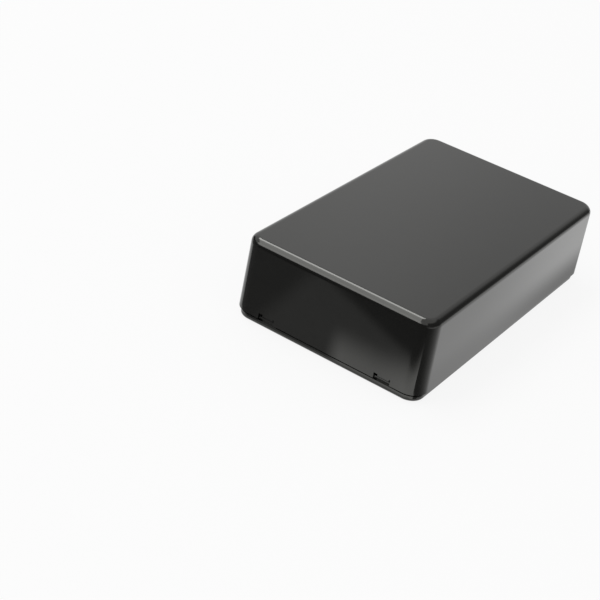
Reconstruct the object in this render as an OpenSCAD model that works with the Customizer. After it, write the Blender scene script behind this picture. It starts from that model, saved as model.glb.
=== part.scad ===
// Snap-together project box: a deep moulded cover that drops over the lip of a shallow base.
// Lengths in millimetres, angles in degrees. X runs along the box, Y across it, Z up,
// and the underside of the base stands on Z = 0 with the origin at its middle.

/* [Box] */
// Length over the cover's rim
box_l = 100; // [80:1:160]
// Width over the cover's rim
box_w = 60; // [50:1:100]
// Height from the underside to the top of the cover
box_h = 25; // [20:0.5:50]
// Radius of the upright corners at the rim
corner_r = 5; // [3.5:0.1:8]
// Lean of the cover's walls, which lets it leave the mould
draft = 1.3; // [0.5:0.1:2]

/* [Cover] */
// Wall thickness, the same all the way up
wall_t = 2; // [1.6:0.1:2.4]
// Thickness of the flat top
roof_t = 2; // [1.4:0.1:3]
// Rounding of the top's outer edge
top_r = 2.1; // [0.8:0.1:2.4]
// Width of each latch notch in the rim
notch_w = 5.1; // [4:0.1:8]
// Height of each latch notch
notch_h = 1.7; // [1.2:0.1:3]
// Distance of each notch's middle from the nearer long side
notch_inset = 11.3; // [9:0.1:15]
// Width of the shallow nick that a screwdriver's tip goes into
nick_w = 3.2; // [2:0.1:6]
// Height of the nick above the rim
nick_h = 0.6; // [0.4:0.1:1.5]
// Distance of the nick from the middle of its long side
nick_x = 15; // [0:1:20]

/* [Base] */
// Height of the foot that shows under the rim, and thickness of the floor
foot_h = 2.6; // [2:0.1:4]
// How far the foot stands back from the outside of the rim
foot_setback = 0.7; // [0.3:0.1:1]
// Rounding of the foot's lower edge
foot_r = 0.9; // [0.2:0.1:1.2]
// Height of the shadow groove that parts the foot from the rim
groove_h = 0.8; // [0.4:0.1:1.2]
// How far the groove goes in behind the side of the foot
groove_depth = 0.7; // [0.3:0.1:1]
// Height of the lip above the foot
lip_h = 5; // [3:0.1:8]
// Thickness of the lip
lip_t = 1.6; // [1.2:0.1:2.4]
// Running clearance between the lip and the inside of the cover
lip_gap = 0.2; // [0.1:0.05:0.4]

/* [Latch tongues] */
// Width of the slit that cuts each side of a tongue free from the lip
slit_w = 0.8; // [0.5:0.1:1.5]
// Height of the nose on a tongue
nose_h = 0.7; // [0.5:0.1:1]
// Clearance between the nose and each side of its notch
nose_side_gap = 0.8; // [0.2:0.1:1]
// Clearance between the nose and the top of its notch
nose_top_gap = 0.5; // [0.1:0.1:0.8]
// How far the nose stays back from the outside of the rim
nose_setback = 0.9; // [0.2:0.1:1.2]

/* [Board posts] */
// Distance of each post's middle from the inside of the lip, along and across the box
post_inset = 6.2; // [5:0.1:12]
// Height of the posts above the floor
post_h = 5; // [3:0.5:8]
// Diameter of a post at its top
post_d = 5.5; // [5:0.1:7]
// Diameter of the pilot bore for a self-tapping screw
pilot_d = 2.3; // [1.8:0.1:3.2]
// Depth of the pilot bore below the top of its post
pilot_depth = 4.5; // [2.5:0.1:6]

/* [Hidden] */
$fn = 64;
// Overshoot of cuts past the faces they open
cut = 1;
// Smallest inside radius of the mould
tool_r = 0.4;
// The cover stands on the foot, and its hollow keeps the wall and the roof at their thickness
cover_h = box_h - foot_h;
cavity_h = cover_h - roof_t;
cavity_r = max(corner_r - wall_t, tool_r + cavity_h * tan(draft));
// The foot's flange stands out below the groove, and the rim keeps a seat on what is left inside it
flange_t = foot_h - groove_h;
flange_r = min(foot_r, 0.8 * flange_t);
seat_w = 0.5;
seat_inset = min(foot_setback + groove_depth, wall_t - seat_w);
// The lip's outer face follows the inside of the cover at the running clearance
lip_inset = wall_t + lip_gap;
lip_r = max(cavity_r - lip_gap, tool_r);
tray_inset = lip_inset + lip_t;
tray_r = max(lip_r - lip_t, tool_r);
notch_pitch = box_w - 2 * notch_inset;
tongue_w = notch_w - 2 * nose_side_gap;
post_pitch_x = box_l - 2 * (tray_inset + post_inset);
post_pitch_y = box_w - 2 * (tray_inset + post_inset);

// Half of the side view of a rounded block, from the corner's upright axis outwards.
// The side leans in by the draft and meets the flat top in a round of radius edge_r.
module corner_profile(r, h, lean, edge_r) {
    round_r = min(edge_r, 0.9 * (r - h * tan(lean)));
    centre_x = r - h * tan(lean) - round_r * (1 - sin(lean)) / cos(lean);
    centre_z = h - round_r;
    polygon([
        [0, 0],
        [r, 0],
        [centre_x + round_r * cos(lean), centre_z + round_r * sin(lean)],
        [centre_x, centre_z],
        [centre_x, h],
        [0, h]
    ]);
    intersection() {
        translate([centre_x, centre_z]) circle(r = round_r);
        translate([0, centre_z - round_r]) square([r, 2 * round_r]);
    }
}

// The corner profile carried outwards to both sides of a middle part of width mid
module side_profile(mid, r, h, lean, edge_r) {
    translate([-mid / 2, 0]) square([mid, h]);
    for (side = [0, 1]) {
        mirror([side, 0]) translate([mid / 2, 0]) corner_profile(r, h, lean, edge_r);
    }
}

// Block with leaning sides, conical upright corners and a rounded top edge, standing on Z = 0
module rounded_block(l, w, h, r, lean, edge_r) {
    mid_l = l - 2 * r;
    mid_w = w - 2 * r;
    translate([0, mid_w / 2, 0]) rotate([90, 0, 0])
        linear_extrude(mid_w) side_profile(mid_l, r, h, lean, edge_r);
    rotate([90, 0, 90]) translate([0, 0, -mid_l / 2])
        linear_extrude(mid_l) side_profile(mid_w, r, h, lean, edge_r);
    for (x = [-1, 1], y = [-1, 1]) {
        translate([x * mid_l / 2, y * mid_w / 2, 0])
            rotate_extrude() corner_profile(r, h, lean, edge_r);
    }
}

// Same outline straight up, for walls that have no rounded edge
module straight_block(l, w, h, r) {
    linear_extrude(h) {
        square([l - 2 * r, w], center = true);
        square([l, w - 2 * r], center = true);
        for (x = [-1, 1], y = [-1, 1]) {
            translate([x * (l / 2 - r), y * (w / 2 - r)]) circle(r = r);
        }
    }
}

// Places its children at the four latches, with +X pointing out of the box at the rim's outside
module at_latches() {
    for (end = [0, 180], side = [-1, 1]) {
        rotate(end) translate([box_l / 2, side * notch_pitch / 2, foot_h]) children();
    }
}

// Deep one-piece cover, open below, notched in the rim of its two ends
module cover() {
    color("dimgray") difference() {
        translate([0, 0, foot_h])
            rounded_block(box_l, box_w, cover_h, corner_r, draft, top_r);
        translate([0, 0, foot_h])
            rounded_block(box_l - 2 * wall_t, box_w - 2 * wall_t, cavity_h, cavity_r, draft, tool_r);
        translate([0, 0, foot_h - cut])
            straight_block(box_l - 2 * wall_t, box_w - 2 * wall_t, cut, cavity_r);
        at_latches()
            translate([-wall_t - cut, -notch_w / 2, -cut])
                cube([wall_t + 2 * cut, notch_w, notch_h + cut]);
        translate([nick_x - nick_w / 2, box_w / 2 - wall_t / 2, foot_h - cut])
            cube([nick_w, wall_t / 2 + cut, nick_h + cut]);
    }
}

// Post for a circuit board, with a pilot bore for a self-tapping screw
module board_post() {
    difference() {
        cylinder(d1 = post_d + 2 * post_h * tan(draft), d2 = post_d, h = post_h);
        translate([0, 0, post_h - pilot_depth]) cylinder(d = pilot_d, h = pilot_depth + cut);
    }
}

// Lip that plugs into the cover, with a slit on each side of every latch tongue
module lip() {
    difference() {
        rounded_block(box_l - 2 * lip_inset, box_w - 2 * lip_inset, lip_h, lip_r, draft, lip_t / 4);
        translate([0, 0, -cut])
            straight_block(box_l - 2 * tray_inset, box_w - 2 * tray_inset, lip_h + 2 * cut, tray_r);
        translate([0, 0, -foot_h]) at_latches() {
            for (side = [0, 1]) {
                mirror([0, side, 0]) translate([-tray_inset - cut, tongue_w / 2, 0])
                    cube([lip_t + 2 * cut, slit_w, lip_h + cut]);
            }
        }
    }
}

// Nose of a tongue, which reaches through the wall's notch and leaves a dark undercut below
module nose() {
    root_x = lip_inset + lip_h * tan(draft);
    translate([-root_x, -tongue_w / 2, notch_h - nose_top_gap - nose_h])
        cube([root_x - nose_setback, tongue_w, nose_h]);
}

// Foot and floor in one: a flange rounded below, and above it the seat that the rim stands on
module foot() {
    translate([0, 0, flange_t]) mirror([0, 0, 1])
        rounded_block(box_l - 2 * foot_setback, box_w - 2 * foot_setback, flange_t,
            corner_r - foot_setback, 0, flange_r);
    translate([0, 0, flange_t / 2])
        straight_block(box_l - 2 * seat_inset, box_w - 2 * seat_inset, foot_h - flange_t / 2,
            corner_r - seat_inset);
}

// Shallow base in one piece: the foot with the lip, the latch tongues and the board posts
module base() {
    color("slategray") {
        foot();
        translate([0, 0, foot_h]) lip();
        at_latches() nose();
        for (x = [-1, 1], y = [-1, 1]) {
            translate([x * post_pitch_x / 2, y * post_pitch_y / 2, foot_h]) board_post();
        }
    }
}

base();
cover();
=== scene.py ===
import bpy
from math import cos, pi, radians, sin, tan
from mathutils import Matrix, Vector


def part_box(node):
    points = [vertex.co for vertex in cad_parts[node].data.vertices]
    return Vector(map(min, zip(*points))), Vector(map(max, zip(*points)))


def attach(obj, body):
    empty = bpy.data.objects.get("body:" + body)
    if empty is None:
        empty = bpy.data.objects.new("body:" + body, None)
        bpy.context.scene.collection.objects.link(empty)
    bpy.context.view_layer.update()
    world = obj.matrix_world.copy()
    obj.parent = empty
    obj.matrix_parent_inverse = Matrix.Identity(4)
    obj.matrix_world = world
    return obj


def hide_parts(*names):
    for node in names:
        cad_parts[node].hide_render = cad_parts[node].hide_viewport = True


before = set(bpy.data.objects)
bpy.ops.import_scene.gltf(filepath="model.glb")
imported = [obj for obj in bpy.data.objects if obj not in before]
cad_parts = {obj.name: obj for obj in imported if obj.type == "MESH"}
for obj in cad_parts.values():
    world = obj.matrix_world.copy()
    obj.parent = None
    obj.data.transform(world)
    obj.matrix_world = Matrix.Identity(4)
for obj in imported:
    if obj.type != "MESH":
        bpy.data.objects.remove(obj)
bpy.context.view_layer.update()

cover_low, cover_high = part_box("cover")
base_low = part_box("base")[0]
scene = bpy.context.scene


# ---- Moulded shells -----------------------------------------------------------------------------
# Both mouldings start as blocks with leaning walls, conical upright corners and a rounded top edge,
# the shape that leaves a two-part steel mould. One node group makes them all, and the hollow, the
# notches and the slits are cut out of them as the tool's cores would.

class Wire:
    """The output of a node. Arithmetic on it adds Math nodes, and add() makes any other node."""

    def __init__(self, tree, socket):
        self.tree = tree
        self.socket = socket

    @classmethod
    def add(cls, tree, kind, settings=None, sockets=None, output=0):
        """A new node: its settings first, then the values or links of its sockets."""
        node = tree.nodes.new(kind)
        for name, value in (settings or {}).items():
            setattr(node, name, value)
        for name, value in (sockets or {}).items():
            for item in value if isinstance(value, list) else [value]:
                if isinstance(item, Wire):
                    tree.links.new(item.socket, node.inputs[name])
                else:
                    node.inputs[name].default_value = item
        return cls(tree, node.outputs[output]) if node.outputs else None

    def output(self, name):
        """Another output of the same node."""
        return Wire(self.tree, self.socket.node.outputs[name])

    def math(self, operation, *others):
        """A Math node with this wire as its first value."""
        values = dict(enumerate((self, *others)))
        return Wire.add(self.tree, "ShaderNodeMath", {"operation": operation}, values)

    def __add__(self, other):
        return self.math("ADD", other)

    def __sub__(self, other):
        return self.math("SUBTRACT", other)

    def __rsub__(self, other):
        return Wire.add(self.tree, "ShaderNodeMath", {"operation": "SUBTRACT"}, {0: other, 1: self})

    def __mul__(self, other):
        return self.math("MULTIPLY", other)

    def __truediv__(self, other):
        return self.math("DIVIDE", other)

    __radd__ = __add__
    __rmul__ = __mul__


def new_group(name, inputs):
    """A geometry node tree with one mesh output and the named inputs; returns it and their wires."""
    tree = bpy.data.node_groups.new(name, "GeometryNodeTree")
    for label, kind in inputs:
        tree.interface.new_socket(name=label, in_out="INPUT", socket_type=f"NodeSocket{kind}")
    tree.interface.new_socket(name="Mesh", in_out="OUTPUT", socket_type="NodeSocketGeometry")
    entry = tree.nodes.new("NodeGroupInput")
    return tree, {label: Wire(tree, entry.outputs[label]) for label, kind in inputs}


def end_group(mesh):
    """Leads a mesh to its tree's output."""
    leave = mesh.tree.nodes.new("NodeGroupOutput")
    mesh.tree.links.new(mesh.socket, leave.inputs["Mesh"])


CORNER_STEPS = 20       # facets round one upright corner
ROUND_STEPS = 14        # facets round the top edge
SUPPORT = 0.00015       # loop beside each round that keeps the flat faces flat in reflections
WELD = 0.000002         # points nearer than this become one
EDGE_ANGLE = radians(35)  # edges sharper than this are softened
block_tree, size = new_group("Moulded block", [
    ("Length", "Float"), ("Width", "Float"), ("Height", "Float"), ("Corner Radius", "Float"),
    ("Draft", "Float"), ("Edge Radius", "Float")])

# A grid becomes the skin. Its columns go once round: each corner has a support loop, its facets and
# another loop. Its rows climb: 0 is the middle of the underside, 1 its edge, 2 the loop below the
# round, then come the round itself, the loop past it and the middle of the top.
columns = 4 * (CORNER_STEPS + 3) + 1
rows = ROUND_STEPS + 6
grid = Wire.add(block_tree, "GeometryNodeMeshGrid", None, {
    "Size X": 1.0, "Size Y": 1.0, "Vertices X": columns, "Vertices Y": rows}, "Mesh")
index = Wire.add(block_tree, "GeometryNodeInputIndex")
column = (index / rows).math("FLOOR")
row = index - column * rows
corner = (column / (CORNER_STEPS + 3)).math("FLOOR")
step = column - corner * (CORNER_STEPS + 3)
turn = ((step - 1) / CORNER_STEPS).math("MAXIMUM", 0.0).math("MINIMUM", 1.0)
angle = (corner + turn) * (pi / 2)
aside = ((step - 1).math("MINIMUM", 0.0) + (step - (CORNER_STEPS + 1)).math("MAXIMUM", 0.0)) * SUPPORT
middle_angle = (corner + 0.5) * (pi / 2)
middle_x = middle_angle.math("COSINE").math("SIGN") * (size["Length"] / 2 - size["Corner Radius"])
middle_y = middle_angle.math("SINE").math("SIGN") * (size["Width"] / 2 - size["Corner Radius"])

lean = size["Draft"]
climb = ((row - 3) / ROUND_STEPS).math("MAXIMUM", 0.0).math("MINIMUM", 1.0)
slope = lean + climb * (pi / 2 - lean)
round_x = (size["Corner Radius"] - size["Height"] * lean.math("TANGENT")
           - size["Edge Radius"] * (1 - lean.math("SINE")) / lean.math("COSINE"))
at_foot = row.math("LESS_THAN", 1.5)
below_round = row.math("COMPARE", 2.0, 0.1) * SUPPORT
past_round = row.math("GREATER_THAN", ROUND_STEPS + 3.5) * SUPPORT
reach = round_x + size["Edge Radius"] * slope.math("COSINE")
reach = reach + below_round * lean.math("SINE") - past_round
reach = at_foot * size["Corner Radius"] + (1 - at_foot) * reach
level = size["Height"] - size["Edge Radius"] + size["Edge Radius"] * slope.math("SINE")
level = (1 - at_foot) * (level - below_round * lean.math("COSINE"))
on_skin = row.math("GREATER_THAN", 0.5) * row.math("LESS_THAN", ROUND_STEPS + 4.5)
place = Wire.add(block_tree, "ShaderNodeCombineXYZ", None, {
    "X": on_skin * (middle_x + reach * angle.math("COSINE") - aside * angle.math("SINE")),
    "Y": on_skin * (middle_y + reach * angle.math("SINE") + aside * angle.math("COSINE")),
    "Z": level})
skin = Wire.add(block_tree, "GeometryNodeSetPosition", None, {"Geometry": grid, "Position": place})
end_group(Wire.add(block_tree, "GeometryNodeMergeByDistance", None, {"Geometry": skin, "Distance": WELD}))


def block(tree, length, width, height, corner_radius, draft, edge_radius, at=(0, 0, 0), upside_down=False):
    """A moulded block in the given tree, standing at a point or hanging from it."""
    mesh = Wire.add(tree, "GeometryNodeGroup", {"node_tree": block_tree}, {
        "Length": length, "Width": width, "Height": height, "Corner Radius": corner_radius,
        "Draft": draft, "Edge Radius": edge_radius})
    return Wire.add(tree, "GeometryNodeTransform", None, {
        "Geometry": mesh, "Translation": at, "Rotation": (pi * upside_down, 0, 0)})


def brick(tree, low, high):
    """A plain block between two corners, for a core or a small lug."""
    low, high = Vector(low), Vector(high)
    mesh = Wire.add(tree, "GeometryNodeMeshCube", None, {"Size": high - low}, "Mesh")
    return Wire.add(tree, "GeometryNodeTransform", None, {
        "Geometry": mesh, "Translation": (low + high) / 2})


def at_four(tree, mesh, pitch_x, pitch_y):
    """Copies of a mesh at the corners of a rectangle, as real geometry."""
    corners = Wire.add(tree, "GeometryNodeMeshGrid", None, {
        "Size X": pitch_x, "Size Y": pitch_y, "Vertices X": 2, "Vertices Y": 2}, "Mesh")
    copies = Wire.add(tree, "GeometryNodeInstanceOnPoints", None, {"Points": corners, "Instance": mesh})
    return Wire.add(tree, "GeometryNodeRealizeInstances", None, {"Geometry": copies})


def cut(body, *cores):
    """The body without its cores."""
    return Wire.add(body.tree, "GeometryNodeMeshBoolean",
                    {"operation": "DIFFERENCE", "solver": "EXACT"}, {"Mesh 1": body, "Mesh 2": list(cores)})


def fuse(*parts):
    """Several meshes as one solid."""
    return Wire.add(parts[0].tree, "GeometryNodeMeshBoolean",
                    {"operation": "UNION", "solver": "EXACT"}, {"Mesh 2": list(parts)})


def finish_mesh(mesh, material_wire):
    """Ends a piece's tree: real geometry, with its material."""
    solid = Wire.add(mesh.tree, "GeometryNodeRealizeInstances", None, {"Geometry": mesh})
    end_group(Wire.add(mesh.tree, "GeometryNodeSetMaterial", None, {
        "Geometry": solid, "Material": material_wire}))


def mould(name, tree, values, edge_softness):
    """Runs a piece's tree with its sizes and returns a plain mesh object with softened edges."""
    piece = bpy.data.objects.new(name, bpy.data.meshes.new(name))
    scene.collection.objects.link(piece)
    nodes = piece.modifiers.new("Mould", "NODES")
    nodes.node_group = tree
    for item in tree.interface.items_tree:
        if item.in_out == "INPUT":
            nodes[item.identifier] = values[item.name]
    bevel = piece.modifiers.new("Edges", "BEVEL")
    bevel.limit_method = "ANGLE"
    bevel.angle_limit = EDGE_ANGLE
    bevel.width = edge_softness
    bevel.segments = 2
    bevel.harden_normals = True
    bevel.use_clamp_overlap = True
    evaluated = piece.evaluated_get(bpy.context.evaluated_depsgraph_get())
    mesh = bpy.data.meshes.new_from_object(evaluated)
    piece.modifiers.clear()
    piece.data = mesh
    mesh.name = name
    return piece


# ---- Cover --------------------------------------------------------------------------------------
# One deep injection moulding in black ABS from a polished tool, so its outside is a black mirror with
# the faint unevenness of a thin wall that shrank as it cooled. It drops over the lip of the base.

WALL = 0.002
ROOF = 0.002
DRAFT = radians(1.3)
CORNER_RADIUS = 0.005
TOP_RADIUS = 0.0021
TOOL_RADIUS = 0.0004
OVERSHOOT = 0.001
NOTCH_W = 0.0051
NOTCH_H = 0.0017
NOTCH_INSET = 0.0113
NICK_W = 0.0032
NICK_H = 0.0006
NICK_X = 0.015
RIM_EDGE = 0.0001

length, width, height = cover_high - cover_low
rim = cover_low.z
notch_pitch = width - 2 * NOTCH_INSET


def glossy_plastic(name, black, roughness, unevenness, scuffs):
    """Black ABS: a near-black body under a clear hard skin, uneven at the scale of the wall."""
    material = bpy.data.materials.new(name)
    material.use_nodes = True
    tree = material.node_tree
    tree.nodes.clear()
    spot = Wire.add(tree, "ShaderNodeTexCoord", None, None, "Object")
    swell = Wire.add(tree, "ShaderNodeTexNoise", None, {
        "Vector": spot, "Scale": 38.0, "Detail": 1.0, "Roughness": 0.4})
    haze = Wire.add(tree, "ShaderNodeTexNoise", None, {
        "Vector": spot, "Scale": 160.0, "Detail": 4.0, "Roughness": 0.6})
    dust = Wire.add(tree, "ShaderNodeTexNoise", None, {
        "Vector": spot, "Scale": 2600.0, "Detail": 2.0, "Roughness": 0.5})
    speck = dust.math("SUBTRACT", 0.66).math("MAXIMUM", 0.0) * 3.0
    tone = Wire.add(tree, "ShaderNodeMix", {"data_type": "RGBA"}, {
        "Factor": (haze * 0.6 + speck * scuffs).math("MINIMUM", 1.0),
        6: (*black, 1), 7: (*[1.9 * part for part in black], 1)}, 2)
    swelling = Wire.add(tree, "ShaderNodeBump", None, {
        "Strength": 1.0, "Distance": unevenness, "Height": swell})
    surface = Wire.add(tree, "ShaderNodeBsdfPrincipled", None, {
        "Base Color": tone,
        "Roughness": roughness + haze * 0.03 + speck * scuffs,
        "IOR": 1.5,
        "Specular Tint": (1.0, 1.0, 0.955, 1.0),
        "Normal": swelling})
    Wire.add(tree, "ShaderNodeOutputMaterial", None, {"Surface": surface})
    return material


cover_tree, sizes = new_group("Cover", [
    ("Length", "Float"), ("Width", "Float"), ("Height", "Float"), ("Rim Level", "Float"),
    ("Wall", "Float"), ("Roof", "Float"), ("Material", "Material")])
grown = OVERSHOOT * tan(DRAFT)      # what the lean adds where a block starts lower down
rim_point = Wire.add(cover_tree, "ShaderNodeCombineXYZ", None, {"Z": sizes["Rim Level"]})
core_point = Wire.add(cover_tree, "ShaderNodeCombineXYZ", None, {"Z": sizes["Rim Level"] - OVERSHOOT})
outside = block(cover_tree, sizes["Length"], sizes["Width"], sizes["Height"], CORNER_RADIUS, DRAFT,
                TOP_RADIUS, rim_point)
core = block(cover_tree, sizes["Length"] - 2 * sizes["Wall"] + 2 * grown,
             sizes["Width"] - 2 * sizes["Wall"] + 2 * grown, sizes["Height"] - sizes["Roof"] + OVERSHOOT,
             CORNER_RADIUS - sizes["Wall"] + grown, DRAFT, TOOL_RADIUS, core_point)
notch = brick(cover_tree, (-WALL / 2 - OVERSHOOT, -NOTCH_W / 2, rim - OVERSHOOT),
              (WALL / 2 + OVERSHOOT, NOTCH_W / 2, rim + NOTCH_H))
notches = at_four(cover_tree, notch, length - WALL, notch_pitch)
nick = brick(cover_tree, (NICK_X - NICK_W / 2, width / 2 - WALL / 2, rim - OVERSHOOT),
             (NICK_X + NICK_W / 2, width / 2 + OVERSHOOT, rim + NICK_H))
finish_mesh(cut(cut(outside, core), notches, nick), sizes["Material"])

cover_plastic = glossy_plastic("cover_plastic", (0.0072, 0.0072, 0.0068), 0.07, 0.00002, 0.1)
cover = mould("cover_shell", cover_tree, {
    "Length": length, "Width": width, "Height": height, "Rim Level": rim, "Wall": WALL,
    "Roof": ROOF, "Material": cover_plastic}, RIM_EDGE)
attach(cover, "cover")
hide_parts("cover")


# ---- Base ---------------------------------------------------------------------------------------
# One shallow moulding in the same ABS: foot and floor, a lip that plugs into the cover, four latch
# tongues that slits cut free from the lip, with noses that show in the notches, and four board posts.

FOOT_SETBACK = 0.0007
FOOT_RADIUS = 0.0009
GROOVE_H = 0.0008
GROOVE_DEPTH = 0.0007
LIP_H = 0.005
LIP_T = 0.0016
LIP_GAP = 0.0002
SLIT_W = 0.0008
NOSE_H = 0.0007
NOSE_SIDE_GAP = 0.0008
NOSE_TOP_GAP = 0.0005
NOSE_SETBACK = 0.0009
POST_INSET = 0.0062
POST_H = 0.005
POST_D = 0.0055
PILOT_D = 0.0023
PILOT_DEPTH = 0.0045
TRAY_ROUND = 0.0003     # on the core's end, past the lip, where it leaves no face
SEAT_ROUND = 0.0001     # on the seat's end, which lies inside the flange
LIP_EDGE = 0.00008

foot_h = rim - base_low.z
lip_inset = WALL + LIP_GAP
tray_inset = lip_inset + LIP_T
tongue_w = NOTCH_W - 2 * NOSE_SIDE_GAP
lip_radius = CORNER_RADIUS - WALL - LIP_GAP

base_tree, sizes = new_group("Base", [
    ("Length", "Float"), ("Width", "Float"), ("Foot Height", "Float"), ("Lip Height", "Float"),
    ("Material", "Material")])
foot_point = Wire.add(base_tree, "ShaderNodeCombineXYZ", None, {"Z": sizes["Foot Height"]})
lip_point = Wire.add(base_tree, "ShaderNodeCombineXYZ", None, {"Z": sizes["Foot Height"] - OVERSHOOT})
tray_point = Wire.add(base_tree, "ShaderNodeCombineXYZ", None, {
    "Z": sizes["Foot Height"] + sizes["Lip Height"] + OVERSHOOT})
flange_point = Wire.add(base_tree, "ShaderNodeCombineXYZ", None, {"Z": sizes["Foot Height"] - GROOVE_H})
flange = block(base_tree, sizes["Length"] - 2 * FOOT_SETBACK, sizes["Width"] - 2 * FOOT_SETBACK,
               sizes["Foot Height"] - GROOVE_H, CORNER_RADIUS - FOOT_SETBACK, 0.0, FOOT_RADIUS,
               flange_point, True)
seat_inset = FOOT_SETBACK + GROOVE_DEPTH
seat = block(base_tree, sizes["Length"] - 2 * seat_inset, sizes["Width"] - 2 * seat_inset,
             sizes["Foot Height"] - FOOT_RADIUS, CORNER_RADIUS - seat_inset, 0.0, SEAT_ROUND,
             foot_point, True)
lip = block(base_tree, sizes["Length"] - 2 * (lip_inset - grown), sizes["Width"] - 2 * (lip_inset - grown),
            sizes["Lip Height"] + OVERSHOOT, lip_radius + grown, DRAFT, LIP_T / 4, lip_point)
tray = block(base_tree, sizes["Length"] - 2 * tray_inset, sizes["Width"] - 2 * tray_inset,
             sizes["Lip Height"] + 3 * OVERSHOOT, lip_radius - LIP_T, 0.0, TRAY_ROUND,
             tray_point, True)
lip_middle = length - lip_inset - tray_inset
slit_low = -LIP_T / 2 - OVERSHOOT, tongue_w / 2, foot_h - 2 * OVERSHOOT
slit_high = LIP_T / 2 + OVERSHOOT, tongue_w / 2 + SLIT_W, foot_h + LIP_H + OVERSHOOT
slit = brick(base_tree, slit_low, slit_high)
other_slit = brick(base_tree, (slit_low[0], -slit_high[1], slit_low[2]),
                   (slit_high[0], -slit_low[1], slit_high[2]))
slits = [at_four(base_tree, part, lip_middle, notch_pitch) for part in (slit, other_slit)]
nose_reach = (lip_inset + LIP_H * tan(DRAFT) - NOSE_SETBACK) / 2
nose_top = foot_h + NOTCH_H - NOSE_TOP_GAP
nose = brick(base_tree, (-nose_reach, -tongue_w / 2, nose_top - NOSE_H), (nose_reach, tongue_w / 2, nose_top))
noses = at_four(base_tree, nose, length - 2 * (NOSE_SETBACK + nose_reach), notch_pitch)
post_h = POST_H + OVERSHOOT
post = Wire.add(base_tree, "GeometryNodeMeshCone", None, {
    "Vertices": 48, "Radius Top": POST_D / 2, "Radius Bottom": POST_D / 2 + post_h * tan(DRAFT),
    "Depth": post_h}, "Mesh")
post = Wire.add(base_tree, "GeometryNodeTransform", None, {
    "Geometry": post, "Translation": (0, 0, foot_h - OVERSHOOT)})
pilot = Wire.add(base_tree, "GeometryNodeMeshCylinder", None, {
    "Vertices": 32, "Radius": PILOT_D / 2, "Depth": PILOT_DEPTH + OVERSHOOT}, "Mesh")
pilot = Wire.add(base_tree, "GeometryNodeTransform", None, {
    "Geometry": pilot, "Translation": (0, 0, foot_h + POST_H + (OVERSHOOT - PILOT_DEPTH) / 2)})
post_pitch = [side - 2 * (tray_inset + POST_INSET) for side in (length, width)]
posts = at_four(base_tree, post, *post_pitch)
pilots = at_four(base_tree, pilot, *post_pitch)
lip = cut(lip, tray, *slits)
finish_mesh(cut(fuse(flange, seat, lip, noses, posts), pilots), sizes["Material"])

base_plastic = glossy_plastic("base_plastic", (0.0085, 0.0085, 0.0082), 0.12, 0.00003, 0.15)
base = mould("base_tray", base_tree, {
    "Length": length, "Width": width, "Foot Height": foot_h, "Lip Height": LIP_H,
    "Material": base_plastic}, LIP_EDGE)
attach(base, "base")
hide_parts("base")


# ---- Studio -------------------------------------------------------------------------------------
# A white table under soft lamps that hang overhead, in white surroundings. A gloss black box shows little but
# what it mirrors, so graded cards with painted reflections, which only mirrored rays meet, stand and lie
# round it.

def sees_background(tree):
    """1 for rays that should meet the plain background: the camera's, mirrored and transmitted ones."""
    path = Wire.add(tree, "ShaderNodeLightPath")
    seen = path.math("MAXIMUM", path.output("Is Glossy Ray"))
    return seen.math("MAXIMUM", path.output("Is Transmission Ray"))


def stage_sheet(name, verts, faces, material):
    """A sheet that belongs to the studio and not to the box."""
    mesh = bpy.data.meshes.new(name)
    mesh.from_pydata(verts, [], faces)
    sheet = bpy.data.objects.new(name, mesh)
    sheet.data.materials.append(material)
    scene.collection.objects.link(sheet)
    return sheet


# The table lies a hair under the box, and from below it lets the underside be seen.
TABLE_LEVEL = -0.0001
TABLE_REACH = 4
TABLE_GLOW = 0.88       # the share of plain white that it shows, and the rest shows the shadow

table = bpy.data.materials.new("white_table")
table.use_nodes = True
tree = table.node_tree
tree.nodes.clear()
paper = Wire.add(tree, "ShaderNodeBsdfDiffuse", None, {"Color": (0.9, 0.9, 0.9, 1)})
glow = Wire.add(tree, "ShaderNodeEmission", None, {"Color": (1, 1, 1, 1), "Strength": 1.0})
surface = Wire.add(tree, "ShaderNodeMixShader", None, {
    0: sees_background(tree) * TABLE_GLOW, 1: paper, 2: glow})
from_below = Wire.add(tree, "ShaderNodeNewGeometry").output("Backfacing")
nothing = Wire.add(tree, "ShaderNodeBsdfTransparent")
surface = Wire.add(tree, "ShaderNodeMixShader", None, {0: from_below, 1: surface, 2: nothing})
Wire.add(tree, "ShaderNodeOutputMaterial", None, {"Surface": surface})
stage_sheet("table", [(x * TABLE_REACH, y * TABLE_REACH, TABLE_LEVEL)
                      for x, y in ((-1, -1), (1, -1), (1, 1), (-1, 1))], [range(4)], table)

world = bpy.data.worlds.new("surroundings")
scene.world = world
world.use_nodes = True
tree = world.node_tree
tree.nodes.clear()
white = 0.6 + 0.4 * sees_background(tree)
sky = Wire.add(tree, "ShaderNodeBackground", None, {"Color": white, "Strength": 1.0})
Wire.add(tree, "ShaderNodeOutputWorld", None, {"Surface": sky})


def smooth(wire, low, high):
    """0 below low, 1 above high and a smooth rise between."""
    return Wire.add(wire.tree, "ShaderNodeMapRange", {"interpolation_type": "SMOOTHSTEP"}, {
        0: wire, 1: low, 2: high})


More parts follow.
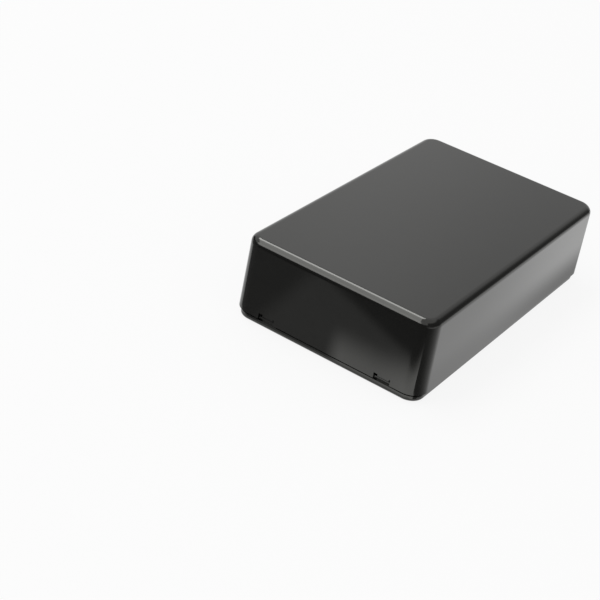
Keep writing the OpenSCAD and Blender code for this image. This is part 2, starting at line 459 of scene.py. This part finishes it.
def card(name, verts, faces, paint):
    """A painted reflection: a glowing card, no lamp, that only mirrored rays meet. Its tone comes from
    paint(x, y, z), in metres.
    """
    material = bpy.data.materials.new(name)
    material.use_nodes = True
    tree = material.node_tree
    tree.nodes.clear()
    spot = Wire.add(tree, "ShaderNodeTexCoord", None, None, "Object")
    parts = Wire.add(tree, "ShaderNodeSeparateXYZ", None, {0: spot})
    tone = paint(parts, parts.output("Y"), parts.output("Z"))
    glow = Wire.add(tree, "ShaderNodeEmission", None, {"Color": tone, "Strength": 1.0})
    Wire.add(tree, "ShaderNodeOutputMaterial", None, {"Surface": glow})
    sheet = stage_sheet(name, verts, faces, material)
    sheet.visible_camera = False
    sheet.visible_diffuse = False
    sheet.visible_shadow = False
    sheet.visible_transmission = False
    return sheet


def standing_card(name, distance, from_azimuth, to_azimuth, top_elevation, paint, steps=32):
    """A curved card round the box, from the table up to an elevation, painted by direction."""
    ring = [radians(from_azimuth + (to_azimuth - from_azimuth) * n / steps) for n in range(steps + 1)]
    top = distance * tan(radians(top_elevation))
    verts = [(distance * cos(bearing), distance * sin(bearing), z) for z in (0, top) for bearing in ring]
    faces = [(n, n + 1, n + steps + 2, n + steps + 1) for n in range(steps)]

    def paint_by_direction(x, y, z):
        azimuth = y.math("ARCTAN2", x) * (180 / pi)
        elevation = (z / distance).math("ARCTANGENT") * (180 / pi)
        return paint(azimuth, elevation)

    return card(name, verts, faces, paint_by_direction)


def front_painted_shade(azimuth, elevation):
    """Painted shade in reflections: dark in front of the long side. It fades to white behind the box and
    overhead.
    """
    behind = 0.58 * smooth(azimuth, -32.0, -2.0) + 0.3 * smooth(azimuth, 15.0, 30.0)
    near_table = 0.2 * (1 - smooth(elevation, 0.0, 10.0))
    overhead = 0.9 * smooth(elevation, 44.0, 60.0)
    return (0.12 + behind + near_table + overhead).math("MINIMUM", 1.0)


def end_painted_light(azimuth, elevation):
    """Painted reflection: painted shade low down, and a painted highlight above where the notched end's top
    edge mirrors it.
    """
    # the azimuths where the painted highlight on the notched end's top edge shows
    end_highlight_mask = smooth(azimuth, 125.0, 140.0) * (1 - smooth(azimuth, 168.0, 183.0))
    return 0.06 + smooth(elevation, 17.0, 25.0) * (0.9 + 2.9 * end_highlight_mask)


def painted_highlight_strip(x, y, z):
    """A painted highlight: a bright glowing strip overhead, no lamp, soft along both sides."""
    return 0.9 + 6.5 * smooth(x, 0.08, 0.2) * (1 - smooth(x, 0.6, 0.75))


# the darkest painted shade that the table card shows
DARKEST_PAINTED_SHADE = 0.02


def painted_table_reflection(x, y, z):
    """Painted reflection of the table in the sides: painted shade makes it dim beside the notched end and
    dark round the near corner, and it is bright beside the long side.
    """
    # How high up and how far along a face each spot of the table shows in it
    end_out = cover_low.x - x
    end_up = end_out / 1.45
    end_along = y - 0.5 * end_out
    # Painted light and shade for the notched end: a dim middle tone, a painted bright patch low down near the
    # corner, and painted shade higher up
    end = 0.34 - 0.19 * smooth(end_along + 0.55 * end_up, 0.019, 0.027)
    end = end + (1 - smooth(end_along, -0.006, 0.0)) * (
        1.1 * (1 - smooth(end_up, 0.003, 0.015)) + 0.4 * (1 - smooth(end_along, -0.028, -0.016)) * (
            1 - smooth(end_up, 0.008, 0.018)))
    end = end - 0.27 * smooth(end_up - 0.4 * end_along, 0.023, 0.028)
    # Painted light and shade for the long side: brighter higher up and farther along, darker low down
    side_up = (cover_low.y - y) / 0.585
    side_along = x - 1.7 * side_up
    high = smooth(side_up, 0.004, 0.016)
    side = 0.98 + high * (0.16 + 0.36 * smooth(side_along, -0.04, 0.045)) - 0.27 * (1 - high) * smooth(
        side_along, -0.02, 0.045)
    # Painted shade round the near corner: dark in front of it, brightening towards the long side
    bearing = (y + 0.025).math("ARCTAN2", x + 0.045) * (180 / pi)
    corner = 0.12 + 0.88 * smooth(bearing, -125.0, -35.0)
    before_corner = smooth(bearing, -137.0, -133.0) * (1 - smooth(bearing, 20.0, 60.0))
    past_corner = smooth(bearing, -70.0, -35.0)
    front = corner + past_corner * (side - corner)
    return (end + before_corner * (front - end)).math("MAXIMUM", DARKEST_PAINTED_SHADE)


# Painted reflections: painted shade in front, painted shade and a painted highlight beyond the notched end, a
# painted highlight strip overhead, and painted light and shade on the table
standing_card("front_painted_shade_card", 1.2, -140, 32, 60, front_painted_shade)
standing_card("end_painted_light_card", 1.15, 70, 219, 38, end_painted_light)
card("painted_highlight_card", [(0.08, 0.25, 1.15), (0.75, 0.25, 1.15), (0.75, 1.0, 1.15), (0.08, 1.0, 1.15)], [range(4)],
     painted_highlight_strip)
card("painted_table_reflection_card", [(x, y, 0.0003) for x, y in (
    (-1.0, -0.12), (0.16, -0.12), (0.16, -0.0305), (-0.047, -0.0305), (-0.0505, -0.027), (-0.0505, 0.6),
    (-1.0, 0.6))], [range(7)], painted_table_reflection)


def lamp(name, centre, size_x, size_y, radiance):
    """A soft lamp that hangs level and shines straight down."""
    light = bpy.data.lights.new(name, "AREA")
    light.shape = "RECTANGLE"
    light.size = size_x
    light.size_y = size_y
    light.energy = radiance * pi * size_x * size_y
    holder = bpy.data.objects.new(name, light)
    holder.location = centre
    scene.collection.objects.link(holder)


lamp("soft_box", (-0.38, 0.62, 1.2), 1.38, 0.6, 2.4)
lamp("end_strip", (-1.3, 0.75, 1.2), 0.3, 0.7, 3.2)


# ---- Camera -------------------------------------------------------------------------------------
# A short telephoto look down at one corner, from the end with the notches, rolled a little.

camera_data = bpy.data.cameras.new("camera")
camera_data.lens = 88.53
camera_data.sensor_width = 36
camera_data.clip_start = 0.01
camera = bpy.data.objects.new("camera", camera_data)
scene.collection.objects.link(camera)
right = Vector((0.55971, -0.81328, 0.15904))
down = Vector((-0.35471, -0.40857, -0.84098))
forward = Vector((0.74894, 0.41429, -0.51716))
aim = Matrix((right, -down, -forward)).transposed()
camera.matrix_world = Matrix.Translation((-0.34186, -0.15206, 0.21580)) @ aim.to_4x4()
scene.camera = camera
scene.view_settings.view_transform = "Standard"
